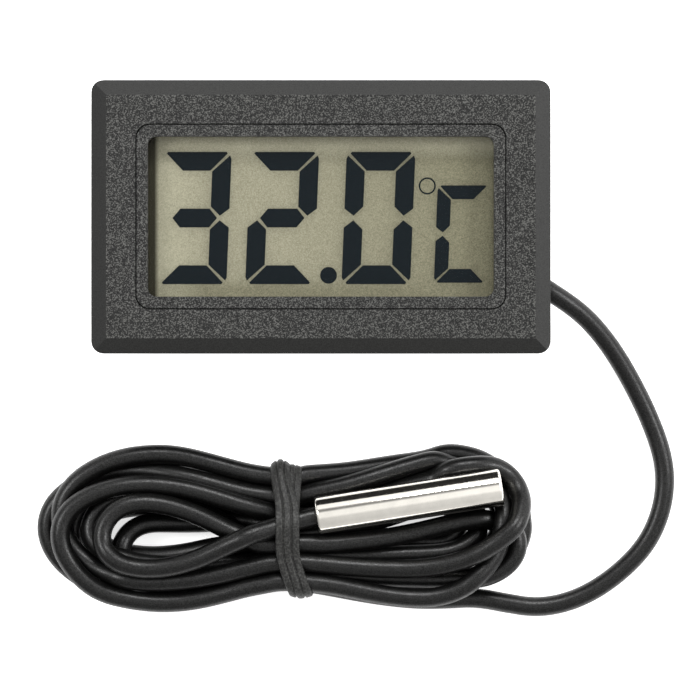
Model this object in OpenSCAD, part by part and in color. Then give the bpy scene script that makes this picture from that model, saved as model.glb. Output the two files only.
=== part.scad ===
// Digital panel thermometer with a remote probe.
// The module lies on its back: +Z points out of the display, +X to the reader's right.
// The origin is the centre of the back face. The cord, its hank and the probe lie beside it.

/* [Bezel] */
// Width of the bezel
bezel_w = 48; // [47.6:0.1:49]
// Height of the bezel
bezel_h = 28.6; // [28.2:0.1:29.6]
// Thickness of the bezel flange
flange_t = 2.4; // [2.2:0.1:2.6]
// Width of the bevel round the bezel
bevel_w = 1.6; // [1.2:0.1:2]
// Height of the bevel
bevel_drop = 1; // [0.6:0.1:1.4]
// Radius of the bezel's corners
bezel_r = 1.3; // [0.5:0.1:1.4]

/* [Body] */
// Width of the box body that passes through the panel
body_w = 45.4; // [45.2:0.1:45.8]
// Height of the box body
body_h = 26; // [25.8:0.1:26.2]
// Depth from the back face to the front of the bezel
depth = 15.2; // [15:0.1:15.6]
// Thickness of the side walls
wall = 1.2; // [1.1:0.1:1.3]
// Thickness of the front wall
front_t = 0.8; // [0.7:0.1:0.9]

/* [Display] */
// Width of the seam round the display frame's rim
seam_w = 38.7; // [38.5:0.1:38.9]
// Height of the seam
seam_h = 19.4; // [19.2:0.1:19.6]
// Gap of the seam
seam_gap = 0.14; // [0.1:0.02:0.2]
// Width of the window
window_w = 36.1; // [35.6:0.1:36.4]
// Height of the window
window_h = 16.7; // [16.6:0.1:17.2]
// Depth of the display below the front face
recess = 1.3; // [1.25:0.05:1.4]
// Thickness of one sheet of display glass
glass_t = 0.55; // [0.55:0.05:1.1]
// Height of the large digits
digit_h = 13.85; // [13:0.05:14.2]
// Width of the large digits
digit_w = 7.2; // [6.6:0.05:7.3]
// Stroke of the large digits
digit_t = 1.97; // [1.6:0.01:2]
// Lean of the characters, in degrees
lean = 2.3; // [0:0.1:5]

/* [Battery] */
// Diameter of a button cell
cell_d = 11.6; // [11.5:0.1:11.7]
// Height of a button cell
cell_h = 5.4; // [5.2:0.05:5.4]
// Distance between the cells' axes
cell_pitch = 12.6; // [12.2:0.1:12.6]
// Width of the battery door
door_w = 25.7; // [25.5:0.1:25.9]
// Thickness of the battery door
door_t = 1.1; // [1:0.05:1.1]

/* [Latches] */
// Width of a panel latch
latch_w = 6.4; // [5:0.1:6.6]
// Thickness of a panel latch
latch_t = 1; // [0.8:0.05:1]
// How far a latch's nose stands out of the body
latch_nose = 0.8; // [0.5:0.05:0.9]

/* [Lead and probe] */
// Diameter of the cord
lead_d = 2.1; // [2:0.05:2.1]
// Diameter of the probe
probe_d = 4; // [3.9:0.05:4.1]
// Length of the probe
probe_l = 20; // [19:0.5:20]
// Height of the hank above the surface it lies on
hank_h = 6.4; // [6.2:0.1:6.6]
// Width of the tie's band
tie_w = 2.5; // [2:0.1:2.6]
// Thickness of the tie's band
tie_t = 0.5; // [0.4:0.05:0.5]

/* [Hidden] */

$fn = 64;
eps = 0.1;

// Heights, counted from the back face
flange_z = depth - flange_t;
front_z = depth - front_t;
lcd_z = depth - recess;
polariser_t = 0.2;
front_glass_z = lcd_z - polariser_t - glass_t;
segment_t = 0.06;
rear_glass_z = front_glass_z - segment_t - glass_t;
board_t = 1;
board_z = 7.3;
board_top = board_z + board_t;
cover_t = 1.2;
cell_z = 1.4;

// Inside of the case
inner_w = body_w - 2 * wall;
inner_h = body_h - 2 * wall;
fit_gap = 0.1;

// Display sheets
glass_w = 38;
front_glass_h = 21;
rear_glass_h = 17.6;

// Board screws
screw_x = 20.1;
screw_y = 9.8;
pilot_r = 0.6;

// Latches: they turn about a line along Y near the back face
latch_root_x = body_w / 2 - 0.6;
latch_root_z = 2.2;
latch_tip_z = 11.4;
latch_gap = 0.2;
latch_pocket_x = 20.3;

// Battery door and its tongues
door_back_y = -6.35;
tongue = 0.55;
door_slot_x = door_w / 2 + tongue + 0.15;
well_x = 12.3;
well_y = 6;
well_top = 6.9;

// Where the cord leaves the body, and which way it heads
exit_at = [22.1, -6.2, 5];
exit_angle = -34;
exit_r = 1.25;
glue_at = [17, -2.9];

// The cord's route from the glue to the underside of the hank
lead_route = [
    [17.4, -3.1, 5], [20, -4.8, 5], [22.4, -6.4, 5], [24.6, -7.9, 4.8], [26.8, -9.3, 4.2],
    [29, -11.3, 3.3], [31.1, -13.9, 2.4], [33, -17, 1.7], [34.6, -20.1, 1.25], [35.8, -23, 1.05],
    [36.6, -25.7, 1.05], [36.8, -28, 1.05], [36.6, -30, 1.05], [36, -32.2, 1.05], [35, -34.3, 1.05],
    [33.6, -36.1, 1.05], [31.8, -37.8, 1.05], [29.6, -39.4, 1.05], [27.2, -40.6, 1.05],
    [24, -41.4, 1.05], [21.2, -41.3, 1.05], [18.8, -40.7, 1.05], [16.9, -40.1, 1.05]
];
lead_sides = 8;

// The two insulated wires from the glue to the board
wire_r = 0.3;
signal_hole = [15.2, -1.6];
return_hole = [15.8, -4.9];
rise = [6.8, board_z, board_top];
signal_route = concat([[16.2, -2.4, 5.8], [15.5, -1.9, 6.3]], [for (z = rise) [each signal_hole, z]]);
return_route = concat([[16.6, -3.8, 5.8], [16, -4.6, 6.3]], [for (z = rise) [each return_hole, z]]);

// Hank: a waist under the tie between two round-ended lobes
hank_left = [-18.6, -33.1];
hank_left_size = [11.8, 8.8];
hank_right = [10.8, -32.8];
hank_right_size = [11.8, 8.5];
waist_y = -33.2;
waist_half = 7;
tie_at = [-3.3, waist_y];
tie_slant = 4;

// Probe, in the hank's top layer
probe_at = [-0.57, -31.55, 6];
probe_angle = 8.9;
probe_r = probe_d / 2;
probe_bore_r = probe_r - 0.3;
lip_t = 0.8;
tip_t = 0.4;
tail_out = 1.35;
tail_in = 4;
bead_x = 15.5;
bead_r = 0.9;

// Points of a centred rectangle with round corners
function round_rect(w, h, r) = [
    for (c = [[1, 1, 0], [-1, 1, 90], [-1, -1, 180], [1, -1, 270]], a = [0 : 15 : 90])
        [c[0] * (w / 2 - r) + r * cos(c[2] + a), c[1] * (h / 2 - r) + r * sin(c[2] + a)]
];

// Points of an elliptical arc
function arc(centre, size, from, to, step) = [
    for (a = [from : step : to]) [centre[0] + size[0] * cos(a), centre[1] + size[1] * sin(a)]
];

function unit(v) = v / norm(v);

// A plate with round corners between two heights
module plate(w, h, r, z0, z1) {
    translate([0, 0, z0]) linear_extrude(z1 - z0) polygon(round_rect(w, h, r));
}

// A box given by its lowest and highest corners
module block(lo, hi) {
    translate(lo) cube(hi - lo);
}

// A profile of Y and Z points, extruded along X
module along_x(x0, x1) {
    translate([x0, 0, 0]) rotate([90, 0, 90]) linear_extrude(x1 - x0) children();
}

// A profile of X and Z points, extruded along Y
module along_y(y0, y1) {
    translate([0, y1, 0]) rotate([90, 0, 0]) linear_extrude(y1 - y0) children();
}

// A copy on each side of the YZ plane
module both_sides() {
    children();
    mirror([1, 0, 0]) children();
}

// A copy in each of the four quadrants
module four_corners(x, y) {
    for (sx = [-1, 1], sy = [-1, 1]) translate([sx * x, sy * y, 0]) children();
}

// A tube of straight pieces through the points of a route
module route_tube(route, r, sides) {
    last = len(route) - 1;
    rings = [
        for (i = [0 : last])
            let (
                ahead = unit(route[min(i + 1, last)] - route[max(i - 1, 0)]),
                side = unit(cross(ahead, [0.02, 0.03, 1])),
                up = cross(side, ahead)
            )
            for (k = [0 : sides - 1])
                route[i] + r * (cos(360 * k / sides) * side + sin(360 * k / sides) * up)
    ];
    walls = [
        for (i = [0 : last - 1], k = [0 : sides - 1])
            let (next = (k + 1) % sides)
            [i * sides + k, i * sides + next, (i + 1) * sides + next, (i + 1) * sides + k]
    ];
    start_cap = [for (k = [sides - 1 : -1 : 0]) k];
    end_cap = [for (k = [0 : sides - 1]) last * sides + k];
    polyhedron(rings, concat([start_cap], walls, [end_cap]));
}

// Case ---------------------------------------------------------------------------------------

// Section through the bezel, from its rear face to its bevelled front
module bezel_profile(w) {
    polygon([
        [-w / 2, flange_z], [w / 2, flange_z], [w / 2, depth - bevel_drop],
        [w / 2 - bevel_w, depth], [-w / 2 + bevel_w, depth], [-w / 2, depth - bevel_drop]
    ]);
}

module bezel() {
    intersection() {
        plate(bezel_w, bezel_h, bezel_r, flange_z, depth);
        along_y(-bezel_h, bezel_h) bezel_profile(bezel_w);
        along_x(-bezel_w, bezel_w) bezel_profile(bezel_h);
    }
}

// The bore that the cord leaves through
module lead_exit() {
    translate(exit_at) rotate([0, 90, exit_angle]) cylinder(r = exit_r, h = 6, center = true);
}

// Small recesses that the back cover's snaps click into
module snap_recesses() {
    for (x = [-16.5, 13.5], y = [-12.3, 11.7]) block([x, y, 2], [x + 3, y + 0.6, 2.9]);
}

module front_case() color("#2b2b2b") {
    difference() {
        union() {
            bezel();
            plate(body_w, body_h, 0.8, 0, flange_z + eps);
        }
        plate(inner_w, inner_h, 0.4, -eps, front_z);
        plate(seam_w, seam_h, 1.5, front_z - eps, depth + eps);
        both_sides() block([inner_w / 2 - eps, -latch_w / 2 - latch_gap, latch_root_z - 0.8],
                           [body_w / 2 + eps, latch_w / 2 + latch_gap, latch_tip_z + latch_gap]);
        block([-door_slot_x, inner_h / 2 - eps, -eps], [door_slot_x, body_h / 2 + eps, cell_z]);
        lead_exit();
        snap_recesses();
    }
}

module display_frame() color("#303030") {
    difference() {
        union() {
            plate(inner_w - 2 * fit_gap, inner_h - 2 * fit_gap, 0.4, board_top, front_z);
            plate(seam_w - 2 * seam_gap, seam_h - 2 * seam_gap, 1.4, front_z - eps, depth);
        }
        plate(glass_w + 0.2, front_glass_h + 0.2, 0.2, board_top - eps, lcd_z);
        plate(window_w, window_h, 0.9, lcd_z - eps, depth + eps);
        both_sides() block([latch_pocket_x, -latch_w / 2 - 0.6, board_top - eps],
                           [inner_w / 2 + eps, latch_w / 2 + 0.6, latch_tip_z + 1]);
        four_corners(screw_x, screw_y) translate([0, 0, board_top - eps]) cylinder(r = pilot_r, h = 3.6);
    }
}

// One catch of the back cover: a short arm with a bead that fills the case's recess
module cover_snap() {
    along_x(-1.2, 1.2) polygon([
        [10.9, cover_t - eps], [11.7, cover_t - eps], [11.7, 2.1], [12.1, 2.3], [12.1, 2.5],
        [11.7, 2.8], [10.9, 2.8]
    ]);
}

module back_cover() color("#262626") {
    door_gap = door_w / 2 + 0.1;
    difference() {
        union() {
            plate(inner_w - 2 * fit_gap, inner_h - 2 * fit_gap, 0.4, 0, cover_t);
            block([-well_x - 1.5, -well_y - 1.2, cover_t - eps], [well_x + 1.5, -well_y, well_top]);
            block([-well_x - 1.5, well_y, cell_z + eps], [well_x + 1.5, well_y + 1, well_top]);
            both_sides() block([well_x, -well_y - eps, cover_t - eps],
                               [well_x + 1.5, well_y + 1, well_top]);
            four_corners(15.5, 10) block([-0.8, -0.8, cover_t - eps], [0.8, 0.8, board_z]);
            for (x = [-15, 15], turn = [0, 180]) rotate(turn) translate([x, 0, 0]) cover_snap();
        }
        block([-door_gap, door_back_y - 0.1, -eps], [door_gap, inner_h, cover_t + eps / 2]);
        block([-door_gap - tongue, door_back_y - 0.1, 0.3], [door_gap + tongue, inner_h, 0.9]);
    }
}

// Slides off along +Y. Its tongues run in the back cover's grooves.
module battery_door() color("#202020") {
    difference() {
        union() {
            block([-door_w / 2, door_back_y, 0], [door_w / 2, body_h / 2, door_t]);
            block([-door_w / 2 - tongue, door_back_y, 0.4], [door_w / 2 + tongue, inner_h / 2 - 0.3, 0.8]);
        }
        for (y = [7.6, 8.8, 10, 11.2]) block([-6, y, -eps], [6, y + 0.5, 0.35]);
    }
}

// Right panel latch: a springy arm whose nose grips the panel behind the bezel
module latch_right() color("#2b2b2b") {
    outer = body_w / 2;
    along_y(-latch_w / 2, latch_w / 2) polygon(concat(
        arc([latch_root_x, latch_root_z], [0.6, 0.6], 180, 360, 30),
        [[outer, 3.2], [outer + latch_nose, latch_tip_z - 1], [outer + latch_nose, latch_tip_z - 0.4],
         [outer + latch_nose - 0.3, latch_tip_z], [outer - latch_t, latch_tip_z], [outer - latch_t, 3.4]]
    ));
}

module latch_left() {
    mirror([1, 0, 0]) latch_right();
}

// Display ------------------------------------------------------------------------------------

module sheet(w, h, z, t) {
    plate(w, h, 0.1, z, z + t);
}

module lcd_front_polariser() color("#6f7468") sheet(37.4, 18.2, lcd_z - polariser_t, polariser_t);

module lcd_front_glass() color("#b9c2b8") sheet(glass_w, front_glass_h, front_glass_z, glass_t);

module lcd_rear_glass() color("#b9c2b8") sheet(glass_w, rear_glass_h, rear_glass_z, glass_t);

module lcd_reflector() color("#a8a48a") sheet(37.4, 17.4, rear_glass_z - polariser_t, polariser_t);

function leaning(points) = [for (p = points) [p[0] + p[1] * tan(lean), p[1]]];

// One character of seven bars, centred on the origin: a = top, b and c = right, d = bottom,
// e and f = left, g = middle. bars names the ones that are on.
module seven_bars(w, h, t, bars) {
    x = w / 2;
    y = h / 2;
    outer = x - 0.21 * t;
    inner = x - 1.1 * t;
    flat = [
        [-outer, y - 0.09 * t], [0.06 * t - outer, y], [outer - 0.06 * t, y], [outer, y - 0.09 * t],
        [inner, y - t], [-inner, y - t]
    ];
    upright = [
        [x - t, y - 1.04 * t], [x - 0.08 * t, y - 0.19 * t], [x, y - 0.36 * t],
        [x, 0.5 * t], [x - t / 2, 0.12 * t], [x - t, 0.61 * t]
    ];
    middle = [
        [0.64 * t - x, 0], [1.05 * t - x, t / 2], [x - 1.05 * t, t / 2],
        [x - 0.64 * t, 0], [x - 1.05 * t, -t / 2], [1.05 * t - x, -t / 2]
    ];
    for (bar = bars) {
        flip = [bar == "e" || bar == "f" ? -1 : 1, bar == "c" || bar == "d" || bar == "e" ? -1 : 1];
        shape = bar == "a" || bar == "d" ? flat : bar == "g" ? middle : upright;
        polygon(leaning([for (p = shape) [p[0] * flip[0], p[1] * flip[1]]]));
    }
}

// The characters that show: 32.0 and a degree ring with a C
module reading() {
    digit_y = -0.1;
    for (digit = [[-13.22, "abgcd"], [-4.06, "abged"], [6.02, "abcdef"]])
        translate([digit[0], digit_y]) seven_bars(digit_w, digit_h, digit_t, digit[1]);
    translate([14.72, -1.78]) seven_bars(5.4, 10.2, 1.45, "afed");
    translate([0.79, -6.1]) circle(r = 0.88);
    translate([11.13, 3.26]) difference() {
        circle(r = 0.9);
        circle(r = 0.73);
    }
}

module lcd_segments() color("#1c1f26") {
    translate([0, 0, front_glass_z - segment_t]) linear_extrude(segment_t) reading();
}

// Each zebra strip joins the front glass's ledge to the board
module zebra_strip(y) {
    block([-17, y - 0.7, board_top], [17, y + 0.7, front_glass_z]);
}

module zebra_strip_upper() color("#3a3a3a") zebra_strip(9.7);

module zebra_strip_lower() color("#3a3a3a") zebra_strip(-9.7);

// Board --------------------------------------------------------------------------------------

module board_hole(at, r) {
    translate([at[0], at[1], board_z - eps]) cylinder(r = r, h = board_t + 2 * eps);
}

module circuit_board() color("#1f6b3a") {
    difference() {
        plate(inner_w - 0.6, inner_h - 0.6, 0.6, board_z, board_top);
        four_corners(screw_x, screw_y) board_hole([0, 0], 0.75);
        both_sides() block([latch_pocket_x + 0.3, -latch_w / 2 - 0.6, board_z - eps],
                           [inner_w, latch_w / 2 + 0.6, board_top + eps]);
        for (hole = [signal_hole, return_hole]) board_hole(hole, wire_r + 0.06);
    }
}

// A low dome, given by its radius and its height
module dome(r, h) {
    ball_r = (r * r + h * h) / (2 * h);
    edge = acos(r / ball_r);
    crown = arc([0, h - ball_r], [ball_r, ball_r], edge, 90, (90 - edge) / 8);
    rotate_extrude() polygon(concat([[0, 0]], crown));
}

module chip_blob() color("#151515") translate([-4, -1, board_top]) dome(3.6, 1.3);

// Middle of each small surface-mount part
SMD_PLACES = [[6, 4, 0], [6, 1.5, 0], [6, -1, 0], [10.5, 4, 90], [10.5, 0, 90], [3, -5, 0], [-13, 3, 90]];

module at_each_smd() {
    for (place = SMD_PLACES) translate([place[0], place[1], board_top]) rotate(place[2]) children();
}

module smd_bodies() color("#6b5a45") at_each_smd() block([-0.6, -0.6, 0], [0.6, 0.6, 0.6]);

module smd_terminals() color("#c8c8c8") {
    at_each_smd() {
        block([-1, -0.6, 0], [-0.6, 0.6, 0.6]);
        block([0.6, -0.6, 0], [1, 0.6, 0.6]);
    }
}

module board_screw() {
    difference() {
        union() {
            translate([0, 0, board_z - 0.8]) cylinder(r = 1.2, h = 0.8);
            translate([0, 0, board_z - eps]) cylinder(r = pilot_r - 0.03, h = 4.2);
        }
        for (turn = [0, 90]) rotate(turn) block([-0.8, -0.15, board_z - 0.9], [0.8, 0.15, board_z - 0.4]);
    }
}

module board_screws() color("#b0b0b0") four_corners(screw_x, screw_y) board_screw();

module solder_joints() color("#c9c9cf") {
    for (hole = [signal_hole, return_hole]) translate([hole[0], hole[1], board_top]) dome(0.75, 0.6);
}

// A leaf contact: its foot lies on the board and its blade on a cell
module leaf_contact(w) {
    along_y(-w / 2, w / 2) polygon([
        [0, board_z], [2.4, board_z], [4, cell_z + cell_h + 0.2], [9.5, cell_z + cell_h + 0.2],
        [9.5, cell_z + cell_h], [3.9, cell_z + cell_h], [2.3, board_z - 0.2], [0, board_z - 0.2]
    ]);
}

module contact_positive() color("#d4c27a") translate([-2, 0, 0]) mirror([1, 0, 0]) leaf_contact(6);

module contact_negative() color("#d4c27a") translate([2, 0, 0]) leaf_contact(4);

// Rides on the battery door, under both cells
module contact_bridge() color("#d4c27a") block([-10, -3, door_t], [10, 3, door_t + 0.2]);

// Cells --------------------------------------------------------------------------------------

cell_r = cell_d / 2;
can_h = cell_h - 0.3;
cap_r = cell_r - 0.9;
seal_z = cell_h - 1.1;

module cell_can() {
    rotate_extrude() polygon([
        [0, 0], [cell_r - 0.3, 0], [cell_r - 0.09, 0.09], [cell_r, 0.3], [cell_r, can_h - 0.3],
        [cell_r - 0.2, can_h], [cell_r - 0.5, can_h], [cell_r - 0.5, seal_z], [0, seal_z]
    ]);
}

module cell_seal() {
    seal_r = cell_r - 0.5;
    rotate_extrude() polygon([[cap_r, seal_z], [seal_r, seal_z], [seal_r, can_h], [cap_r, can_h]]);
}

module cell_cap() {
    rotate_extrude() polygon([
        [0, seal_z], [cap_r, seal_z], [cap_r, cell_h - 0.2], [cap_r - 0.2, cell_h], [0, cell_h]
    ]);
}

// Cell 1 has its flat positive face towards the board, and cell 2 towards the door
module at_cell_1() {
    translate([-cell_pitch / 2, 0, cell_z + cell_h]) rotate([180, 0, 0]) children();
}

module at_cell_2() {
    translate([cell_pitch / 2, 0, cell_z]) children();
}

module cell_1_can() color("#d0d2d4") at_cell_1() cell_can();

module cell_1_seal() color("#3c4a3c") at_cell_1() cell_seal();

module cell_1_cap() color("#c4c6c8") at_cell_1() cell_cap();

module cell_2_can() color("#d0d2d4") at_cell_2() cell_can();

module cell_2_seal() color("#3c4a3c") at_cell_2() cell_seal();

module cell_2_cap() color("#c4c6c8") at_cell_2() cell_cap();

// Lead ---------------------------------------------------------------------------------------

// Cast round the cord's end, so that a pull on the cord stays off the solder joints
module lead_glue() color("#d8c9a0") {
    translate([glue_at[0], glue_at[1], cover_t]) rotate_extrude() polygon([
        [0, 0], [2.3, 0], [2.2, 3.4], [1.8, 4.3], [1, 4.8], [0, 5]
    ]);
}

module lead_wire_signal() color("#a03030") route_tube(signal_route, wire_r, 6);

module lead_wire_return() color("#d8d8d0") route_tube(return_route, wire_r, 6);

module sensor_lead() color("#1c1c1c") route_tube(lead_route, lead_d / 2, lead_sides);

module tie_ring() {
    outer_h = hank_h + tie_t;
    translate([tie_at[0], tie_at[1], outer_h / 2]) rotate(tie_slant) difference() {
        along_x(-tie_w / 2, tie_w / 2) polygon(round_rect(2 * (waist_half + tie_t), outer_h, 1.2));
        along_x(-tie_w, tie_w) polygon(round_rect(2 * waist_half, outer_h - 2 * tie_t, 0.7));
    }
}

module hank_tie() color("#333333") tie_ring();

// Places its children on the probe's axis, which then runs along +Z
module on_probe() {
    translate(probe_at) rotate([0, 90, probe_angle]) children();
}

// The bed that the probe lies in, open upwards
module probe_bed() {
    bed_r = probe_r + 0.1;
    on_probe() translate([0, 0, -tail_out]) {
        cylinder(r = bed_r, h = probe_l + tail_out + 0.1);
        translate([-hank_h, -bed_r, 0]) cube([hank_h, 2 * bed_r, probe_l + tail_out + 0.1]);
    }
}

hank_outline = concat(
    arc(hank_left, hank_left_size, 90, 270, 10),
    [[-5.4, waist_y - waist_half], [-1.6, waist_y - waist_half]],
    arc(hank_right, hank_right_size, -90, 90, 10),
    [[-1.6, waist_y + waist_half], [-5.4, waist_y + waist_half]]
);

module lead_hank() color("#1c1c1c") {
    difference() {
        linear_extrude(hank_h) polygon(hank_outline);
        tie_ring();
        probe_bed();
    }
}

// Probe --------------------------------------------------------------------------------------

module probe_tail() color("#1c1c1c") {
    on_probe() translate([0, 0, -tail_out]) cylinder(r = lead_d / 2, h = tail_out + tail_in);
}

module probe_tube() color("#d7d5cf") {
    edge = 0.35;
    on_probe() rotate_extrude() polygon(concat(
        [[lead_d / 2 + 0.05, 0]],
        arc([probe_r - edge, edge], [edge, edge], -90, 0, 15),
        arc([probe_r - edge, probe_l - edge], [edge, edge], 0, 90, 15),
        [[0, probe_l], [0, probe_l - tip_t], [probe_bore_r, probe_l - tip_t], [probe_bore_r, lip_t],
         [lead_d / 2 + 0.05, lip_t]]
    ));
}

module thermistor_bead() color("#2a2a2a") on_probe() translate([0, 0, bead_x]) sphere(r = bead_r);

module leg_pair(r) {
    for (y = [-0.4, 0.4]) translate([0, y, tail_in]) cylinder(r = r, h = bead_x - 0.8 * bead_r - tail_in);
}

module thermistor_legs() color("#c0c0c0") on_probe() difference() {
    leg_pair(0.15);
    translate([0, 0, bead_x]) sphere(r = bead_r);
}

module probe_potting() color("#3a3a34") on_probe() difference() {
    translate([0, 0, lip_t]) cylinder(r = probe_bore_r, h = probe_l - tip_t - lip_t);
    translate([0, 0, -tail_out]) cylinder(r = lead_d / 2, h = tail_out + tail_in);
    translate([0, 0, bead_x]) sphere(r = bead_r);
    leg_pair(0.15);
}

front_case();
display_frame();
lcd_front_polariser();
lcd_front_glass();
lcd_segments();
lcd_rear_glass();
lcd_reflector();
zebra_strip_upper();
zebra_strip_lower();
circuit_board();
chip_blob();
smd_bodies();
smd_terminals();
board_screws();
solder_joints();
contact_positive();
contact_negative();
contact_bridge();
cell_1_can();
cell_1_seal();
cell_1_cap();
cell_2_can();
cell_2_seal();
cell_2_cap();
back_cover();
battery_door();
latch_left();
latch_right();
lead_glue();
lead_wire_signal();
lead_wire_return();
sensor_lead();
lead_hank();
hank_tie();
probe_tail();
probe_tube();
thermistor_bead();
thermistor_legs();
probe_potting();
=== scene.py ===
"""Looks for a digital panel thermometer with a remote probe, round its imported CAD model.

The module lies on its back on a white table, seen from straight above, with its cord folded into a hank
under a tie. Lengths in this file are millimetres, and are scaled when an object is made.
"""
import math

import bpy
import numpy as np
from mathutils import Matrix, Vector


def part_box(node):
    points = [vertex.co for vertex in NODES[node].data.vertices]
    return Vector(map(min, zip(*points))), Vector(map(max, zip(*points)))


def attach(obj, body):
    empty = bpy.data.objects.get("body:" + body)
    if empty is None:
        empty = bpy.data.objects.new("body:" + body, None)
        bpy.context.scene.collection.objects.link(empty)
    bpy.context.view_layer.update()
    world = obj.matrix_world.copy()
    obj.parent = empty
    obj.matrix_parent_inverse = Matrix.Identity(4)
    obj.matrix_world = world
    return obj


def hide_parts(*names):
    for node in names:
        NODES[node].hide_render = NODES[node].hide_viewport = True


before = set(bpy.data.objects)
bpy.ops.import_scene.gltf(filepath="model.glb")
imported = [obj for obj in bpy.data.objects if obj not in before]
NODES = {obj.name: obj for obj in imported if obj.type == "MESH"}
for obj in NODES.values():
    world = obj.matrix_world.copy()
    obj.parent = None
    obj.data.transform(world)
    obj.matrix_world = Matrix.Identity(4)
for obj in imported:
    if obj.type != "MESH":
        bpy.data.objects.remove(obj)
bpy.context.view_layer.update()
MM = 0.001

# Camera ---------------------------------------------------------------------------------------------

# It looks straight down from half a metre above the bezel's face, where the view has that width
FACE_Z = 15.2
CAMERA_AT = (3.04, -13.92, FACE_Z + 500.0)
VIEW_WIDTH = 73.0
SENSOR = 36.0


def add_camera():
    data = bpy.data.cameras.new("camera")
    data.sensor_width = SENSOR
    data.lens = SENSOR * (CAMERA_AT[2] - FACE_Z) / VIEW_WIDTH
    data.clip_start, data.clip_end = 20 * MM, 20000 * MM
    camera = bpy.data.objects.new("camera", data)
    camera.location = [v * MM for v in CAMERA_AT]
    bpy.context.scene.collection.objects.link(camera)
    bpy.context.scene.camera = camera


add_camera()

# Cord: its route through the hank -------------------------------------------------------------------

CORD_D = 2.1
CORD_R = CORD_D / 2
# From the anchor inside the case, out through its wall and down to the hank
FREE_ROUTE = [
    (17.4, -3.1, 5), (20, -4.8, 5), (22.4, -6.4, 5), (24.6, -7.9, 4.8), (26.8, -9.3, 4.2),
    (29, -11.3, 3.3), (31.1, -13.9, 2.4), (33, -17, 1.7), (34.6, -20.1, 1.25), (35.8, -23, 1.05),
    (36.6, -25.7, 1.05), (36.8, -28, 1.05), (36.6, -30, 1.05), (36, -32.2, 1.05), (35, -34.3, 1.05),
    (33.6, -36.1, 1.05), (31.8, -37.8, 1.05), (29.6, -39.4, 1.05), (27.2, -40.6, 1.05),
    (24, -41.4, 1.05), (21.2, -41.3, 1.05), (18.8, -40.7, 1.05), (16.9, -40.1, 1.05),
]

# The tunnel under the tie
TIE_X = (-5.0, -1.8)
TIE_Y = -33.05
TIE_HALF = 6.55
BUNDLE_Z = (0.7, 6.9)

# The probe's open end, its direction and its size
PROBE_END = np.array([-0.57, -31.55, 6.0])
PROBE_TURN = math.radians(8.9)
PROBE_AXIS = np.array([math.cos(PROBE_TURN), math.sin(PROBE_TURN), 0.0])
PROBE_L = 20.0
PROBE_R = 2.0

# Each loop from the tie and back: the upper end at the tie (y z), its upper bulge, its tip and its lower
# bulge (x y z), and the lower end at the tie (y z)
LOOPS = {
    "L1": ((-28.5, 1.6), (-18.6, -28.9, 1.05), (-26.5, -33.4, 1.05), (-18.2, -38.1, 1.05), (-37.0, 1.6)),
    "L2": ((-28.0, 5.2), (-18.5, -25.5, 2.6), (-27.9, -31.6, 2.6), (-18.2, -38.5, 3.2), (-37.0, 5.2)),
    "L3": ((-30.7, 5.2), (-18.7, -28.3, 4.0), (-27.8, -33.2, 4.2), (-16.6, -40.8, 3.0), (-38.5, 5.0)),
    "L4": ((-29.6, 3.4), (-19.4, -26.8, 1.05), (-29.5, -32.8, 1.05), (-18.4, -40.0, 1.05), (-38.5, 1.6)),
    "L5": ((-30.7, 1.6), (-19.6, -29.6, 1.8), (-24.5, -33.2, 1.05), (-19.0, -36.1, 1.05), (-33.8, 3.4)),
    "L6": ((-34.9, 1.6), (-19.5, -29.3, 3.1), (-25.0, -33.7, 3.1), (-18.6, -37.2, 3.1), (-35.9, 3.4)),
    "L7": ((-32.8, 1.6), (-18.2, -32.4, 1.05), (-21.7, -35.9, 1.05), (-17.8, -39.2, 2.5), (-38.0, 3.4)),
    "L8": ((-34.9, 3.8), (-19.3, -30.1, 4.6), (-23.4, -34.1, 5.2), (-18.3, -37.1, 5.2), (-32.9, 5.4)),
    "R1": ((-27.5, 3.6), (15.6, -25.75, 2.0), (21.4, -33.3, 1.2), (12.6, -38.8, 1.05), (-37.0, 1.6)),
    "R2": ((-31.7, 3.4), (17.0, -27.1, 5.2), (20.2, -31.0, 5.2), (9.0, -37.2, 5.2), (-36.8, 5.2)),
    "R3": ((-28.9, 5.1), (13.6, -26.4, 4.0), (19.7, -31.0, 3.4), (11.0, -40.3, 3.2), (-38.5, 4.6)),
    "R4": ((-28.4, 1.6), (11.5, -26.3, 1.05), (19.6, -31.2, 1.05), (11.0, -36.1, 1.05), (-34.9, 1.6)),
    "R5": ((-34.6, 5.2), (18.0, -31.9, 3.0), (21.0, -34.6, 2.2), (15.0, -38.4, 2.9), (-38.0, 3.4)),
    "R6": ((-32.8, 3.4), (14.0, -30.2, 3.0), (17.4, -33.2, 3.0), (13.0, -36.0, 3.0), (-35.9, 3.4)),
    "R7": ((-30.7, 1.6), (11.6, -29.9, 1.05), (15.0, -32.7, 1.05), (11.6, -35.5, 1.05), (-32.8, 1.6)),
}
# The order of the winding, and the end of each loop that comes first
WINDING = [
    ("L4", "lower"), ("R3", "upper"), ("L3", "lower"), ("R2", "upper"), ("L2", "lower"),
    ("R1", "upper"), ("L1", "lower"), ("R4", "upper"), ("L6", "upper"), ("R6", "lower"),
    ("L5", "lower"), ("R7", "upper"), ("L7", "upper"), ("R5", "lower"), ("L8", "upper"),
]
# The loops that show keep nearer to their drawn line than the ones below them
ON_TOP = {"L2", "L3", "L4", "L8", "R1", "R2", "R3", "R5"}
HOLD_SHOWN, HOLD_HIDDEN, HOLD_FREE, HOLD_ENTRY = 0.12, 0.02, 0.1, 0.03
# The loops whose upper side stays level for longer before it rises to its bulge
RISES_LATE = {"R1", "R5", "R6"}
# The handle of a quarter circle drawn as a Bezier curve, as a share of its radius
CIRCLE_HANDLE = 0.5523

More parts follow.
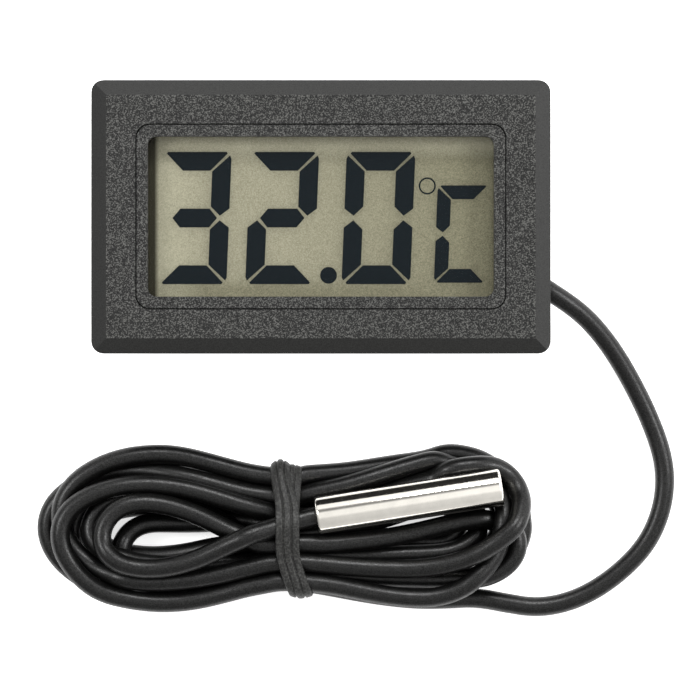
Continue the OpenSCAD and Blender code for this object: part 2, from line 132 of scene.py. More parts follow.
# Settling: the distance between the line's points, how far a strand sinks in one step, and how many points
# along the cord count as neighbours that don't push each other
POINT_STEP = 1.0
SINK = 0.03
NEIGHBOURS = 5
# The last points lie at the probe, which doesn't push them, and the very last ones don't move
POINTS_AT_PROBE = 14
FIXED_AT_END = 4
# The free cord doesn't move either, but for this much of it before the hank
LOOSE_END = 3


def bezier(points, n=24):
    a, b, c, d = np.array(points, float)
    t = np.linspace(0, 1, n, endpoint=False)[:, None]
    return (1 - t) ** 3 * a + 3 * (1 - t) ** 2 * t * b + 3 * (1 - t) * t * t * c + t ** 3 * d


def catmull(points, n=8):
    """A smooth line through the points."""
    p = np.array(points, float)
    p = np.vstack([2 * p[0] - p[1], p, 2 * p[-1] - p[-2]])
    t = np.linspace(0, 1, n, endpoint=False)[:, None]
    parts = []
    for a, b, c, d in zip(p, p[1:], p[2:], p[3:]):
        parts.append(0.5 * (2 * b + (c - a) * t + (2 * a - 5 * b + 4 * c - d) * t * t
                            + (3 * b - a - 3 * c + d) * t ** 3))
    return np.vstack(parts + [p[-2:-1]])


def run_to_bulge(tie_x, end, bulge, late=False):
    """From the tie to a bulge, where the strand is parallel to X. A late one stays level for longer."""
    a = np.array([tie_x, *end], float)
    b = np.array(bulge, float)
    reach = b[0] - a[0]
    first, last, rise = (0.6, 0.25, 0.05) if late else (0.34, 0.42, 0.18)
    return [a, a + (first * reach, rise * (b[1] - a[1]), 0), b - (last * reach, 0, 0), b]


def bulge_to_tip(bulge, tip):
    """A quarter turn, from parallel to X to parallel to Y."""
    b, t = np.array(bulge, float), np.array(tip, float)
    k = CIRCLE_HANDLE
    return [b, b + (k * (t[0] - b[0]), 0, 0.1 * (t[2] - b[2])),
            t + (0, k * (b[1] - t[1]), 0.1 * (b[2] - t[2])), t]


def loop_line(name, first):
    upper, upper_bulge, tip, lower_bulge, lower = LOOPS[name]
    tie_x = TIE_X[0] if name[0] == "L" else TIE_X[1]
    line = np.vstack([
        bezier(run_to_bulge(tie_x, upper, upper_bulge, name in RISES_LATE)),
        bezier(bulge_to_tip(upper_bulge, tip)),
        bezier(bulge_to_tip(lower_bulge, tip)[::-1]),
        bezier(run_to_bulge(tie_x, lower, lower_bulge)[::-1]),
        [[tie_x, *lower]],
    ])
    return line if first == "upper" else line[::-1]


def drawn_route():
    """The cord as drawn, with a fourth column for how firmly each point keeps its place."""
    def held(line, hold):
        return np.c_[line, np.full(len(line), hold)]

    free = catmull(FREE_ROUTE)
    name, end = WINDING[0]
    y, z = LOOPS[name][0 if end == "upper" else 4]
    last = np.array(FREE_ROUTE[-1])
    parts = [
        held(free[:-1], HOLD_FREE),
        held(bezier([last, last + (-5, 0.9, 0), (TIE_X[1] + 6, y - 0.7, CORD_R), (TIE_X[1], y, z)]),
             HOLD_ENTRY),
    ]
    for name, end in WINDING:
        parts.append(held(loop_line(name, end), HOLD_SHOWN if name in ON_TOP else HOLD_HIDDEN))
    out = parts[-1][-1][:3]
    parts.append(held(bezier([out, out + (1.6, 0.6, 0.1), PROBE_END - (1.3, 0.1, 0),
                              PROBE_END + 0.3 * PROBE_AXIS], 8), HOLD_FREE))
    parts.append(held(np.array([PROBE_END + s * PROBE_AXIS for s in (0.3, 1.5, 3.5)]), HOLD_FREE))
    return np.vstack(parts), len(free)


def distance_along(line):
    return np.r_[0, np.cumsum(np.linalg.norm(np.diff(line, axis=0), axis=1))]


def length_of(line):
    return np.linalg.norm(np.diff(line, axis=0), axis=1).sum()


def resample(line, step):
    along = distance_along(line[:, :3])
    at = np.linspace(0, along[-1], int(round(along[-1] / step)) + 1)
    return np.array([np.interp(at, along, column) for column in line.T]).T


def smooth(line, weight, times=1):
    for _ in range(times):
        bend = np.zeros_like(line)
        bend[1:-1] = line[:-2] + line[2:] - 2 * line[1:-1]
        line = line + weight * bend
    return line


def settle(p, fixed, hold, steps=300):
    """Lets the strands sink, pushes touching ones a diameter apart, and keeps them off the floor, out of
    the probe and inside the tie."""
    target = p[:, :2].copy()
    free = ~fixed
    before_probe = np.arange(len(p)) < len(p) - POINTS_AT_PROBE
    for s in range(steps):
        if s % 10 == 0:
            d2 = ((p[:, None] - p[None]) ** 2).sum(-1)
            i, j = np.where(d2 < (CORD_D + 1) ** 2)
            apart = j - i > NEIGHBOURS
            i, j = i[apart], j[apart]
        # the last steps only push the strands apart
        if s < steps - 60:
            p[free, 2] -= SINK
        if s < steps - 4:
            off = smooth(p[:, :2] - target, 0.3, 3) * (1 - hold)[:, None]
            p[free, :2] = (target + off)[free]
            p[free, 2] = smooth(p, 0.3, 3)[free, 2]
        for _ in range(3):
            v = p[i] - p[j]
            dist = np.linalg.norm(v, axis=1)
            near = dist < CORD_D
            d = np.maximum(dist[near], 1e-3)
            push = (0.3 * (CORD_D - d) / d)[:, None] * v[near]
            total, count = np.zeros_like(p), np.zeros(len(p))
            for ends, way in ((i[near], 1), (j[near], -1)):
                np.add.at(total, ends, way * push)
                np.add.at(count, ends, 1)
            touched = (count > 0) & free
            p[touched] += total[touched] / np.sqrt(count[touched])[:, None]
            # away from the probe, downwards
            on_axis = PROBE_END + np.clip((p - PROBE_END) @ PROBE_AXIS, 0, PROBE_L)[:, None] * PROBE_AXIS
            v = p - on_axis
            dist = np.linalg.norm(v, axis=1)
            m = (dist < PROBE_R + CORD_R) & free & before_probe
            v[m, 2] = np.minimum(v[m, 2], -0.2 * dist[m])
            way = v[m] / np.maximum(np.linalg.norm(v[m], axis=1), 1e-6)[:, None]
            p[m] += 0.5 * (on_axis[m] + way * (PROBE_R + CORD_R) - p[m])
            # into the tie
            m = (p[:, 0] > TIE_X[0]) & (p[:, 0] < TIE_X[1]) & free & before_probe
            p[m, 1] = np.clip(p[m, 1], TIE_Y - TIE_HALF + CORD_R, TIE_Y + TIE_HALF - CORD_R)
            p[m, 2] = np.clip(p[m, 2], BUNDLE_Z[0] + CORD_R, BUNDLE_Z[1] - CORD_R)
            p[free, 2] = np.maximum(p[free, 2], CORD_R)
    return p


def cord_line():
    drawn, free_count = drawn_route()
    free_length = length_of(drawn[:free_count, :3])
    p = resample(drawn, POINT_STEP)
    hold, p = p[:, 3], p[:, :3]
    # smooth without shrinking
    for _ in range(12):
        p = smooth(smooth(p, 0.33), -0.34)
    fixed = distance_along(p) < free_length - LOOSE_END
    fixed[-FIXED_AT_END:] = True
    return settle(p, fixed, hold)


# Node graphs ----------------------------------------------------------------------------------------


class Graph:
    """The nodes of one material, with short calls for the ones used here."""

    def __init__(self, name):
        self.mat = bpy.data.materials.new(name)
        self.mat.use_nodes = True
        self.tree = self.mat.node_tree
        self.tree.nodes.clear()
        self.out = self.tree.nodes.new("ShaderNodeOutputMaterial")
        self.coord = self.tree.nodes.new("ShaderNodeTexCoord").outputs["Object"]

    def node(self, kind, **values):
        n = self.tree.nodes.new(kind)
        for key, value in values.items():
            setattr(n, key, value)
        return n

    def feed(self, socket, value):
        if isinstance(value, bpy.types.NodeSocket):
            self.tree.links.new(value, socket)
        else:
            socket.default_value = value

    def math(self, op, a, b=0.0):
        n = self.node("ShaderNodeMath", operation=op)
        for socket, value in zip(n.inputs, (a, b)):
            self.feed(socket, value)
        return n.outputs[0]

    def weighted(self, a, b, share):
        """That share of a, and the rest of b."""
        return self.math("ADD", self.math("MULTIPLY", a, share), self.math("MULTIPLY", b, 1 - share))

    def grid(self, size, stretch=(1, 1, 1)):
        """The piece's own coordinates in units of that many millimetres."""
        n = self.node("ShaderNodeMapping")
        self.feed(n.inputs["Vector"], self.coord)
        n.inputs["Scale"].default_value = [s / (size * MM) for s in stretch]
        return n.outputs[0]

    def noise(self, size, detail=2.0, rough=0.5, stretch=(1, 1, 1)):
        """Noise between 0 and 1 with lumps of about that many millimetres."""
        n = self.node("ShaderNodeTexNoise")
        self.feed(n.inputs["Vector"], self.grid(size, stretch))
        for key, value in (("Scale", 1.0), ("Detail", detail), ("Roughness", rough)):
            n.inputs[key].default_value = value
        return n.outputs[0]

    def cells(self, size):
        """Distance to the nearest of points strewn about that many millimetres apart."""
        n = self.node("ShaderNodeTexVoronoi")
        self.feed(n.inputs["Vector"], self.grid(size))
        n.inputs["Scale"].default_value = 1.0
        return n.outputs["Distance"]

    def span(self, value, a, b, c, d):
        """Maps a..b to c..d, and holds beyond."""
        n = self.node("ShaderNodeMapRange")
        self.feed(n.inputs["Value"], value)
        for key, v in (("From Min", a), ("From Max", b), ("To Min", c), ("To Max", d)):
            self.feed(n.inputs[key], v)
        return n.outputs[0]

    def colours(self, value, *stops):
        n = self.node("ShaderNodeValToRGB")
        self.feed(n.inputs[0], value)
        ramp = n.color_ramp
        while len(ramp.elements) < len(stops):
            ramp.elements.new(0.5)
        for element, (at, colour) in zip(ramp.elements, stops):
            element.position = at
            element.color = (*colour, 1)
        return n.outputs[0]

    def blend(self, share, a, b):
        n = self.node("ShaderNodeMix", data_type="RGBA")
        for socket, value in zip((n.inputs[0], n.inputs[6], n.inputs[7]), (share, a, b)):
            self.feed(socket, (*value, 1) if isinstance(value, tuple) else value)
        return n.outputs[2]

    def axis(self, letter):
        n = self.node("ShaderNodeSeparateXYZ")
        self.feed(n.inputs[0], self.coord)
        return n.outputs["XYZ".index(letter)]

    def fade(self, letter, a, b, c, d):
        """Maps the piece's own X, Y or Z from a..b millimetres to c..d, and holds beyond."""
        return self.span(self.axis(letter), a * MM, b * MM, c, d)

    def upward(self):
        """Z of the surface's normal."""
        n = self.node("ShaderNodeSeparateXYZ")
        self.feed(n.inputs[0], self.node("ShaderNodeNewGeometry").outputs["Normal"])
        return n.outputs[2]

    def bump(self, height, depth):
        """A bump whose relief is about that many millimetres, or a socket's metres."""
        n = self.node("ShaderNodeBump")
        self.feed(n.inputs["Height"], height)
        n.inputs["Strength"].default_value = 1.0
        self.feed(n.inputs["Distance"], depth if isinstance(depth, bpy.types.NodeSocket) else depth * MM)
        return n.outputs[0]

    def surface(self, colour, rough, normal=None, **more):
        n = self.node("ShaderNodeBsdfPrincipled")
        if not isinstance(colour, bpy.types.NodeSocket):
            colour = (*colour, 1)
        self.feed(n.inputs["Base Color"], colour)
        self.feed(n.inputs["Roughness"], rough)
        if normal is not None:
            self.feed(n.inputs["Normal"], normal)
        for key, value in more.items():
            self.feed(n.inputs[key.replace("_", " ")], value)
        self.tree.links.new(n.outputs[0], self.out.inputs[0])
        return self.mat


def tint(colour, k):
    return tuple(v * k for v in colour)


def moulded(name, colour, grain, rough, deep, level=0.3):
    """Moulded plastic: a spark-eroded grain on its flat top, glittering with painted glints, and a fainter
    grain on its other sides, which are painted darker as shade.
    """
    g = Graph(name)
    height = g.weighted(g.noise(grain, 1, 0.6), g.noise(grain * 3, 2, 0.6), 0.88)
    flat = g.span(g.upward(), 0.95, 0.99, 0.0, 1.0)
    depth = g.span(flat, 0, 1, 0.15 * deep * MM, deep * MM)
    # The flat top follows the grain, and its brightest specks, over five times the plastic's colour, are
    # painted glints
    grain_and_painted_glints = g.colours(height, (0.4, tint(colour, 0.02)), (0.5, tint(colour, 0.35)),
                       (0.63, tint(colour, 5.3)))
    # Painted shade: the other sides take a plainer tone, darker than the flat top
    sides_with_painted_shade = g.colours(height, (0.35, tint(colour, 0.3)), (0.65, tint(colour, 1.0)))
    gloss = g.span(height, 0.35, 0.65, rough + 0.1, rough - 0.1)
    return g.surface(g.blend(flat, sides_with_painted_shade, grain_and_painted_glints), gloss, g.bump(height, depth), Specular_IOR_Level=level)


def smooth_plastic(name, colour, rough, grain=0.35, deep=0.004, **more):
    g = Graph(name)
    shade = g.colours(g.noise(grain * 2, 3), (0.3, tint(colour, 0.85)), (0.7, tint(colour, 1.18)))
    gloss = g.span(g.noise(grain * 4, 3), 0.3, 0.7, rough - 0.05, rough + 0.06)
    return g.surface(shade, gloss, g.bump(g.noise(grain, 3, 0.6), deep), **more)


def metal(name, colour, rough, grain=0.5, stretch=(1, 1, 1), deep=0.0008):
    g = Graph(name)
    shade = g.colours(g.noise(grain * 6, 3, stretch=stretch), (0.3, tint(colour, 0.9)), (0.7, colour))
    gloss = g.span(g.noise(grain, 4, stretch=stretch), 0.3, 0.7, rough * 0.7, rough * 1.4)
    return g.surface(shade, gloss, g.bump(g.noise(grain * 0.6, 3, stretch=stretch), deep), Metallic=1.0)


def clear_sheet(name):
    """Bonded display sheets: light goes straight through, and a satin film on top takes the gloss."""
    g = Graph(name)
    through = g.node("ShaderNodeBsdfTransparent")
    through.inputs[0].default_value = (0.985, 0.99, 0.98, 1)
    gloss = g.node("ShaderNodeBsdfGlossy")
    g.feed(gloss.inputs["Roughness"], g.span(g.noise(0.6, 3), 0.3, 0.7, 0.3, 0.36))
    g.feed(gloss.inputs["Normal"], g.bump(g.noise(0.14, 2, 0.6), 0.0012))
    edge = g.node("ShaderNodeFresnel")
    edge.inputs[0].default_value = 1.46
    front = g.math("SUBTRACT", 1.0, g.node("ShaderNodeNewGeometry").outputs["Backfacing"])
    mix = g.node("ShaderNodeMixShader")
    g.feed(mix.inputs[0], g.math("MULTIPLY", g.math("MULTIPLY", edge.outputs[0], 0.17), front))
    g.feed(mix.inputs[1], through.outputs[0])
    g.feed(mix.inputs[2], gloss.outputs[0])
    g.tree.links.new(mix.outputs[0], g.out.inputs[0])
    return g.mat


def reflector_material():
    """The display's khaki reflector: finely speckled, with painted light at its left and top edges, painted
    shade towards its right and bottom ones, and a painted shadow of the window's wall as a dark margin at
    the far left."""
    g = Graph("reflector")
    speck = g.weighted(g.noise(0.12, 1, 0.7), g.noise(0.4, 2), 0.85)
    # The khaki three times: as it is, darkened as painted shade, and lightened as painted light
    pale = g.colours(speck, (0.33, (0.17, 0.159, 0.113)), (0.67, (0.264, 0.249, 0.187)))
    deep = g.colours(speck, (0.33, (0.09, 0.084, 0.054)), (0.67, (0.172, 0.161, 0.108)))
    painted_light_khaki = g.colours(speck, (0.33, (0.29, 0.275, 0.2)), (0.67, (0.41, 0.39, 0.305)))
    # Painted shade, rising towards the right and the bottom
    painted_shade_share = g.math("MAXIMUM", g.fade("X", -4, 19, 0.0, 1.0), g.fade("Y", -6, -7.6, 0.0, 0.75))
    # Painted light, at the far left and along the top edge
    paler = g.math("MAXIMUM", g.fade("X", -12, -17, 0.0, 0.5), g.fade("Y", 6, 8.2, 0.0, 0.95))
    khaki_with_painted_light_and_shade = g.blend(paler, g.blend(painted_shade_share, pale, deep), painted_light_khaki)
    # Painted shadow of the window's left wall: a dark margin at the far left
    shade = g.blend(g.fade("X", -17.45, -16.95, 0.0, 1.0), (0.02, 0.018, 0.0105), khaki_with_painted_light_and_shade)
    return g.surface(shade, 0.6, g.bump(speck, 0.002), Specular_IOR_Level=0.1)


def cord_material():
    """Soft black PVC: a broad sheen, broken up into a glitter by its fine skin."""
    g = Graph("cord_jacket")
    shade = g.colours(g.noise(0.9, 3), (0.3, (0.0012, 0.0012, 0.0012)), (0.7, (0.0032, 0.0032, 0.003)))
    gloss = g.span(g.noise(0.3, 3), 0.3, 0.7, 0.31, 0.41)
    level = g.span(g.noise(0.12, 1), 0.35, 0.65, 0.2, 0.46)
    return g.surface(shade, gloss, g.bump(g.noise(0.16, 2, 0.6), 0.0025), Specular_IOR_Level=level)


def tie_material():
    """Ribbed rubber, paler on its high spots."""
    g = Graph("tie_band")
    skin = g.weighted(g.noise(0.12, 2, 0.6), g.cells(0.22), 0.6)
    shade = g.colours(skin, (0.34, (0.005, 0.005, 0.0046)), (0.5, (0.0115, 0.0115, 0.0108)),
                      (0.64, (0.038, 0.038, 0.036)))
    gloss = g.span(g.noise(0.3, 2), 0.3, 0.7, 0.42, 0.58)
    return g.surface(shade, gloss, g.bump(skin, 0.02), Specular_IOR_Level=0.32)


def zebra_material():
    """Silicone with thin dark and pale layers across its length."""
    g = Graph("zebra_rubber")
    layers = g.math("FRACT", g.math("MULTIPLY", g.axis("X"), 1 / (0.2 * MM)))
    shade = g.colours(layers, (0.45, (0.02, 0.02, 0.02)), (0.55, (0.2, 0.2, 0.19)))
    return g.surface(shade, g.span(g.noise(0.5), 0.3, 0.7, 0.5, 0.7), g.bump(g.noise(0.2), 0.004))


def board_material():
    """Green solder mask, with paler tracks under it: stretches of the joints of a brick pattern."""
    g = Graph("board")
    bricks = g.node("ShaderNodeTexBrick")
    g.feed(bricks.inputs["Vector"], g.grid(1))
    for key, value in (("Scale", 0.55), ("Mortar Size", 0.06), ("Brick Width", 1.7), ("Row Height", 0.45)):
        bricks.inputs[key].default_value = value
    tracks = g.math("MULTIPLY", bricks.outputs["Fac"], g.span(g.noise(5.0, 1), 0.45, 0.5, 0.0, 1.0))
    shade = g.colours(tracks, (0.3, (0.022, 0.12, 0.052)), (0.7, (0.06, 0.26, 0.11)))
    return g.surface(shade, g.span(g.noise(1.5), 0.3, 0.7, 0.25, 0.4), g.bump(tracks, 0.03))


CASE_COLOUR = (0.0162, 0.0163, 0.0154)
LOOKS = {
    "case_plastic": moulded("case_plastic", CASE_COLOUR, 0.125, 0.42, 0.025),
    "frame_plastic": moulded("frame_plastic", CASE_COLOUR, 0.125, 0.42, 0.025),
    "cover_plastic": moulded("cover_plastic", (0.016, 0.0162, 0.0155), 0.15, 0.45, 0.02),
    "display_glass": clear_sheet("display_glass"),
    "segment_ink": smooth_plastic("segment_ink", (0.0022, 0.0048, 0.0068), 0.5, 0.15, 0.001,
                                  Specular_IOR_Level=0.05),
    "reflector": reflector_material(),
    "zebra_rubber": zebra_material(),
    "board": board_material(),
    "black_epoxy": smooth_plastic("black_epoxy", (0.01, 0.01, 0.01), 0.25, 0.8, 0.01),
    "smd_ceramic": smooth_plastic("smd_ceramic", (0.2, 0.14, 0.09), 0.5, 0.1, 0.004),
    "solder": metal("solder", (0.7, 0.7, 0.72), 0.3, 0.3, deep=0.004),
    "screw_steel": metal("screw_steel", (0.6, 0.6, 0.6), 0.35, 0.3),
    "contact_metal": metal("contact_metal", (0.72, 0.62, 0.34), 0.28, 0.25, (1, 8, 8)),
    "cell_steel": metal("cell_steel", (0.72, 0.72, 0.73), 0.25, 0.3),
    "seal_nylon": smooth_plastic("seal_nylon", (0.06, 0.09, 0.06), 0.5),
    "glue": smooth_plastic("glue", (0.7, 0.6, 0.38), 0.3, 1.2, 0.05, Subsurface_Weight=0.3),
    "wire_red": smooth_plastic("wire_red", (0.5, 0.03, 0.03), 0.4),
    "wire_white": smooth_plastic("wire_white", (0.75, 0.75, 0.7), 0.4),
    "cord_jacket": cord_material(),
    "tie_band": tie_material(),
    "probe_metal": metal("probe_metal", (0.93, 0.90, 0.835), 0.1, 0.24, deep=0.0005),
}

# Pieces ---------------------------------------------------------------------------------------------


def wear(obj, look):
    obj.data.materials.clear()
    obj.data.materials.append(LOOKS[look])


def add_mesh(name, verts, faces, look, smooth_faces=True):
    mesh = bpy.data.meshes.new(name)
    mesh.from_pydata([tuple(v * MM for v in p) for p in verts], [], faces)
    mesh.polygons.foreach_set("use_smooth", [smooth_faces] * len(mesh.polygons))
    mesh.update()
    obj = bpy.data.objects.new(name, mesh)
    bpy.context.scene.collection.objects.link(obj)
    wear(obj, look)
    return obj


def give(obj, look, *nodes):
    """The piece stands for those CAD nodes and rides on the module. Its look is not used."""
    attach(obj, "module")
    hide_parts(*nodes)


CORD_LINE = cord_line()


def add_cord():
    curve = bpy.data.curves.new("sensor_cord", "CURVE")
    curve.dimensions = "3D"
    spline = curve.splines.new("NURBS")
    spline.points.add(len(CORD_LINE) - 1)
    for point, at in zip(spline.points, CORD_LINE):
        point.co = (*(at * MM), 1)
    spline.order_u = 4
    spline.use_endpoint_u = True
    spline.resolution_u = 3
    curve.bevel_depth = CORD_R * MM
    curve.bevel_resolution = 4
    curve.use_fill_caps = True
    obj = bpy.data.objects.new("sensor_cord", curve)
    bpy.context.scene.collection.objects.link(obj)
    wear(obj, "cord_jacket")
    give(obj, "cord_jacket", "sensor_lead", "lead_hank", "probe_tail")
    return obj


cord = add_cord()

# Tie --------------------------------------------------------------------------------------------------

TIE_MIDDLE = -3.58
TIE_W = 2.55
TIE_STEP = 0.22
# The y over which the band turns across the bundle's upper edge, and across its lower edge
UPPER_EDGE = (-31.2, -26.6)
LOWER_EDGE = (-36.0, -39.4)
# The band is narrower over the upper edge by this share, and drifts to the right below this y
NARROWER = 0.16
DRIFTS_BELOW = -35.0
# The lowest that the band lies above the table
LOWEST = 0.02


def hull_path(inside):
    """Where a taut band lies round the strands at the tie: a closed path of (y, z)."""
    across = []
    for a, b in zip(CORD_LINE, CORD_LINE[1:]):
        if (a[0] - TIE_MIDDLE) * (b[0] - TIE_MIDDLE) <= 0 and a[0] != b[0]:
            across.append((a + (TIE_MIDDLE - a[0]) / (b[0] - a[0]) * (b - a))[1:])
    across = np.array(across)
    points = []
    for turn in np.linspace(0, 2 * math.pi, 361):
        way = np.array([math.cos(turn), math.sin(turn)])
        points.append(across[np.argmax(across @ way)] + (CORD_R + inside) * way)
    path = resample(np.array(points), TIE_STEP)[:-1]
    for _ in range(10):
        path = 0.5 * path + 0.25 * (np.roll(path, 1, axis=0) + np.roll(path, -1, axis=0))
    return path


def band_thickness(u, thick):
    """Across the band, from -1 to 1: three rounded ribs between two grooves."""
    groove = sum(math.exp(-((u - at) / 0.07) ** 2) for at in (-0.36, 0.34))
    crown = 0.1 * math.exp(-(u / 0.3) ** 2)
    edge = math.sqrt(max(0.0, 1 - max(0.0, (abs(u) - 0.84) / 0.16) ** 2))
    return thick * (0.86 + crown - 0.62 * groove) * (0.25 + 0.75 * edge)


def ease(v, a, b):
    t = min(1.0, max(0.0, (v - a) / (b - a)))
    return t * t * (3 - 2 * t)


def band_mesh(path, turn):
    """A closed band along a closed path, which swells where it turns across the bundle's edges."""
    n = len(path)
    ahead = np.roll(path, -1, axis=0) - np.roll(path, 1, axis=0)
    ahead /= np.linalg.norm(ahead, axis=1)[:, None]
    out = np.c_[ahead[:, 1], -ahead[:, 0]]
    steps = np.linspace(-1, 1, 41)
    section = [(u, False) for u in steps] + [(u, True) for u in steps[::-1]]
    verts = []
    for (y, z), (oy, oz) in zip(path, out):
        upper, lower = ease(y, *UPPER_EDGE), ease(y, *LOWER_EDGE)
        middle = TIE_MIDDLE + turn["top"] * upper + turn["drift"] * max(0.0, DRIFTS_BELOW - y) ** 1.5
        half = TIE_W / 2 * (1 - NARROWER * upper)
        for u, outer in section:
            swell = (turn["top_bulge"] * upper + turn["low_bulge"] * lower) * (1 - u * u)
            t = band_thickness(u, turn["thick"]) + swell if outer else 0.0
            verts.append((middle + u * half, y + oy * t, max(LOWEST, z + oz * t)))
    m = len(section)
    faces = []
    for i in range(n):
        a, b = i * m, (i + 1) % n * m
        faces += [(a + k, b + k, b + (k + 1) % m, a + (k + 1) % m) for k in range(m)]
    return verts, faces


# The band's two turns. The outer one leans left over the top edge, so the inner one shows beside it.
TIE_TURNS = [
    {"inside": 0.02, "thick": 0.2, "top": 0.42, "drift": 0.13, "top_bulge": 0.3, "low_bulge": 0.1},
    {"inside": 0.21, "thick": 0.29, "top": -0.8, "drift": 0.135, "top_bulge": 0.55, "low_bulge": 0.3},
]


def add_tie():
    verts, faces = [], []
    for turn in TIE_TURNS:
        v, f = band_mesh(hull_path(turn["inside"]), turn)
        faces += [tuple(k + len(verts) for k in face) for face in f]
        verts += v
    obj = add_mesh("hank_tie_band", verts, faces, "tie_band")
    give(obj, "tie_band", "hank_tie")
    return obj


tie = add_tie()

# Probe ------------------------------------------------------------------------------------------------


def arc(cx, cy, r, a, b, n=8):
    """Points round a centre, from a degrees to b degrees."""
    turns = np.linspace(math.radians(a), math.radians(b), n)
    return [(cx + r * math.cos(t), cy + r * math.sin(t)) for t in turns]


def add_probe():
    """A drawn tube: its open lip takes the cord, and its far end is closed."""
    lip_r, edge, lip_t, tip_t = CORD_R + 0.05, 0.35, 0.8, 0.4
    bore_r = PROBE_R - 0.3
    profile = ([(lip_r, 0.06), (lip_r + 0.06, 0.0)]
               + arc(PROBE_R - edge, edge, edge, -90, 0)
               + arc(PROBE_R - edge, PROBE_L - edge, edge, 0, 90)
               + [(0.0, PROBE_L), (0.0, PROBE_L - tip_t), (bore_r, PROBE_L - tip_t), (bore_r, lip_t),
                  (lip_r, lip_t)])
    sides = 96
    side = np.array([-PROBE_AXIS[1], PROBE_AXIS[0], 0.0])
    up = np.array([0.0, 0.0, 1.0])
    verts, rows = [], []
    for r, s in profile:
        if r == 0:
            rows.append([len(verts)] * sides)
            verts.append(PROBE_END + s * PROBE_AXIS)
            continue
        rows.append([len(verts) + k for k in range(sides)])
        for k in range(sides):
            t = 2 * math.pi * k / sides
            verts.append(PROBE_END + s * PROBE_AXIS + r * (math.cos(t) * side + math.sin(t) * up))
    faces = []
    for a, b in zip(rows, rows[1:] + rows[:1]):
        for k in range(sides):
            k2 = (k + 1) % sides
            face = [a[k], a[k2], b[k2], b[k]]
            face = [v for n, v in enumerate(face) if v not in face[:n]]
            if len(face) > 2:
                faces.append(tuple(face))
    obj = add_mesh("probe_sleeve_tube", verts, faces, "probe_metal")
    obj.data.set_sharp_from_angle(angle=math.radians(40))
    give(obj, "probe_metal", "probe_tube")
    return obj


probe = add_probe()

# Display ----------------------------------------------------------------------------------------------

CORNERS = ((-1, -1), (1, -1), (1, 1), (-1, 1))
HAIR = 0.01


def add_display_cell():
    """The display's bonded sheets as one stepped slab, with the segments inside it. It stops a hair short of
    the reflector, and its rear glass is a hair narrower than its front glass, so that no face is empty."""
    rear, front, film = [
        [np.array(corner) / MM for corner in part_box(name)]
        for name in ("lcd_rear_glass", "lcd_front_glass", "lcd_front_polariser")
    ]
    joint = (rear[1][2] + front[0][2]) / 2
    steps = [(rear[1] - (HAIR, 0, 0), rear[0][2] + HAIR, joint), (front[1], joint, front[1][2]),
             (film[1], film[0][2], film[1][2])]
    rings, verts = [], []
    for corner, z0, z1 in steps:
        for z in (z0, z1):
            rings.append(len(verts))
            verts += [(x * corner[0], y * corner[1], z) for x, y in CORNERS]
    faces = [(3, 2, 1, 0), tuple(rings[-1] + k for k in range(4))]
    for a, b in zip(rings, rings[1:]):
        faces += [(a + k, a + (k + 1) % 4, b + (k + 1) % 4, b + k) for k in range(4)]
    obj = add_mesh("lcd_cell", verts, faces, "display_glass", False)
    give(obj, "display_glass", "lcd_front_polariser", "lcd_front_glass", "lcd_rear_glass")


add_display_cell()

# CAD nodes: finish and rounded edges --------------------------------------------------------------------

# node: (look, rounding of its edges)
FINISH = {
    "front_case": ("case_plastic", 0.14), "display_frame": ("frame_plastic", 0.08),
    "lcd_segments": ("segment_ink", 0), "lcd_reflector": ("reflector", 0),
    "zebra_strip_upper": ("zebra_rubber", 0.08), "zebra_strip_lower": ("zebra_rubber", 0.08),
    "circuit_board": ("board", 0), "chip_blob": ("black_epoxy", 0), "smd_bodies": ("smd_ceramic", 0.05),
    "smd_terminals": ("solder", 0.05), "board_screws": ("screw_steel", 0.05),
    "solder_joints": ("solder", 0), "contact_positive": ("contact_metal", 0.03),
    "contact_negative": ("contact_metal", 0.03), "contact_bridge": ("contact_metal", 0.03),
    "cell_1_can": ("cell_steel", 0), "cell_1_seal": ("seal_nylon", 0), "cell_1_cap": ("cell_steel", 0),
    "cell_2_can": ("cell_steel", 0), "cell_2_seal": ("seal_nylon", 0), "cell_2_cap": ("cell_steel", 0),
    "back_cover": ("cover_plastic", 0.1), "battery_door": ("cover_plastic", 0.1),
    "latch_left": ("case_plastic", 0.1), "latch_right": ("case_plastic", 0.1), "lead_glue": ("glue", 0),
    "lead_wire_signal": ("wire_red", 0), "lead_wire_return": ("wire_white", 0),
    "thermistor_bead": ("black_epoxy", 0), "thermistor_legs": ("solder", 0),
    "probe_potting": ("black_epoxy", 0),
}


def finish_node(name, look, rounding):
    obj = NODES[name]
    wear(obj, look)
    if not rounding:
        return
    weld = obj.modifiers.new("weld", "WELD")
    weld.merge_threshold = 0.002 * MM
    bevel = obj.modifiers.new("edges", "BEVEL")
    bevel.width = rounding * MM
    bevel.segments = 3
    bevel.limit_method = "ANGLE"
    bevel.angle_limit = math.radians(25)
    bevel.use_clamp_overlap = True
    bevel.harden_normals = True


for node_name, (look, rounding) in FINISH.items():
    finish_node(node_name, look, rounding)

# The segments cast no shadow on the reflector, so the narrow gaps between them stay light
NODES["lcd_segments"].visible_shadow = False

# Table and light ----------------------------------------------------------------------------------------

FLOOR_HALF = 900.0
FLOOR_Z = -0.02
# The softboxes: where they look, how far away they are, and their sides
AIM = (0, -14, 5)
FAR = 500
BOX_SIDE = 150
# name: its bearing from +X, its angle from straight up, and its radiance, where 1 looks white
SOFTBOXES = {"upper_box": (84, 44, 19.0), "left_box": (161, 40, 15.5), "right_box": (18, 50, 17.0)}
# The world's brightness at angles from straight up towards +Y, in degrees
WORLD_STOPS = [
    (-100, 0.82), (-60, 0.72), (-25, 0.85), (-12, 1.25), (14, 1.25), (24, 0.3), (34, 0.35), (42, 1.5),
    (80, 1.35), (100, 0.8),
]


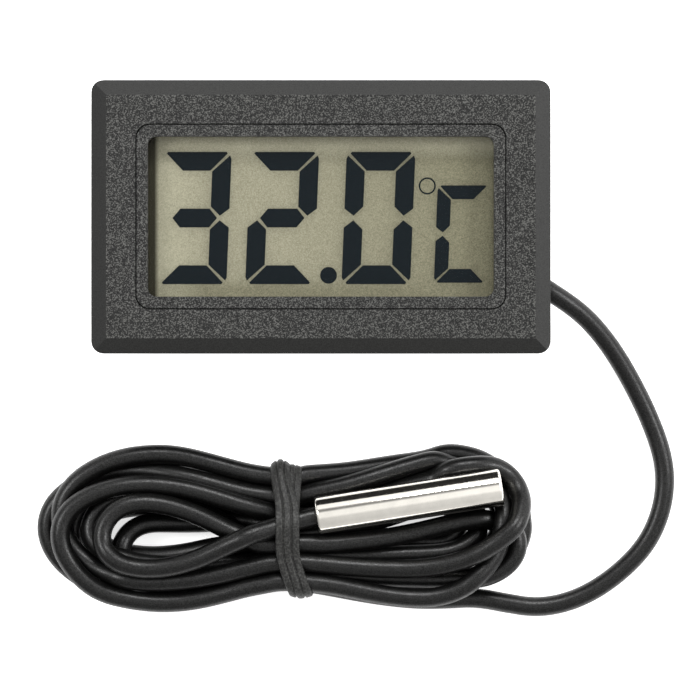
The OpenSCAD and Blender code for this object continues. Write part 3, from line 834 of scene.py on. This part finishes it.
def add_floor():
    mesh = bpy.data.meshes.new("table_top")
    verts = [(x * FLOOR_HALF * MM, y * FLOOR_HALF * MM, FLOOR_Z * MM) for x, y in CORNERS]
    mesh.from_pydata(verts, [], [(0, 1, 2, 3)])
    obj = bpy.data.objects.new("table_top", mesh)
    bpy.context.scene.collection.objects.link(obj)
    g = Graph("table_white")
    shade = g.colours(g.noise(40, 2), (0.3, (0.86, 0.86, 0.86)), (0.7, (0.9, 0.9, 0.9)))
    obj.data.materials.append(g.surface(shade, g.span(g.noise(20, 2), 0.3, 0.7, 0.35, 0.42),
                                        Emission_Color=(1, 1, 1, 1), Emission_Strength=0.68))


def add_softbox(name, bearing, tilt, radiance):
    """A square area light that the camera doesn't see."""
    data = bpy.data.lights.new(name, "AREA")
    data.shape = "SQUARE"
    data.size = BOX_SIDE * MM
    data.energy = radiance * math.pi * data.size ** 2
    obj = bpy.data.objects.new(name, data)
    bpy.context.scene.collection.objects.link(obj)
    a, t = math.radians(bearing), math.radians(tilt)
    away = Vector((math.sin(t) * math.cos(a), math.sin(t) * math.sin(a), math.cos(t)))
    obj.location = (Vector(AIM) + FAR * away) * MM
    obj.rotation_euler = away.to_track_quat("Z", "Y").to_euler()
    obj.visible_camera = False


def add_world():
    """A soft studio: bright overhead and beyond the top edge, with a dim gap between the two, and brighter
    to the right than to the left."""
    world = bpy.data.worlds.new("studio")
    bpy.context.scene.world = world
    world.use_nodes = True
    tree = world.node_tree
    tree.nodes.clear()

    def put(kind, **values):
        n = tree.nodes.new(kind)
        for key, value in values.items():
            setattr(n, key, value)
        return n

    split = put("ShaderNodeSeparateXYZ")
    tree.links.new(put("ShaderNodeTexCoord").outputs["Generated"], split.inputs[0])
    # the angle from straight up towards +Y, in turns, with straight up at a half
    turn = put("ShaderNodeMath", operation="ARCTAN2")
    tree.links.new(split.outputs["Y"], turn.inputs[0])
    tree.links.new(split.outputs["Z"], turn.inputs[1])
    scaled = put("ShaderNodeMath", operation="MULTIPLY_ADD")
    tree.links.new(turn.outputs[0], scaled.inputs[0])
    scaled.inputs[1].default_value = 1 / (2 * math.pi)
    scaled.inputs[2].default_value = 0.5
    ramp = put("ShaderNodeValToRGB")
    tree.links.new(scaled.outputs[0], ramp.inputs[0])
    elements = ramp.color_ramp.elements
    while len(elements) < len(WORLD_STOPS):
        elements.new(0.5)
    for element, (angle, level) in zip(elements, WORLD_STOPS):
        element.position = 0.5 + angle / 360
        element.color = (level / 2, level / 2, level / 2, 1)
    side = put("ShaderNodeMapRange")
    tree.links.new(split.outputs["X"], side.inputs["Value"])
    for key, value in (("From Min", -0.95), ("From Max", 0.95), ("To Min", 1.0), ("To Max", 2.5)):
        side.inputs[key].default_value = value
    both = put("ShaderNodeMath", operation="MULTIPLY")
    tree.links.new(ramp.outputs[0], both.inputs[0])
    tree.links.new(side.outputs[0], both.inputs[1])
    background = put("ShaderNodeBackground")
    tree.links.new(both.outputs[0], background.inputs["Strength"])
    background.inputs["Color"].default_value = (1, 0.995, 0.985, 1)
    tree.links.new(background.outputs[0], put("ShaderNodeOutputWorld").inputs[0])


add_floor()
add_world()
for box_name, place in SOFTBOXES.items():
    add_softbox(box_name, *place)
bpy.context.scene.view_settings.view_transform = "Standard"
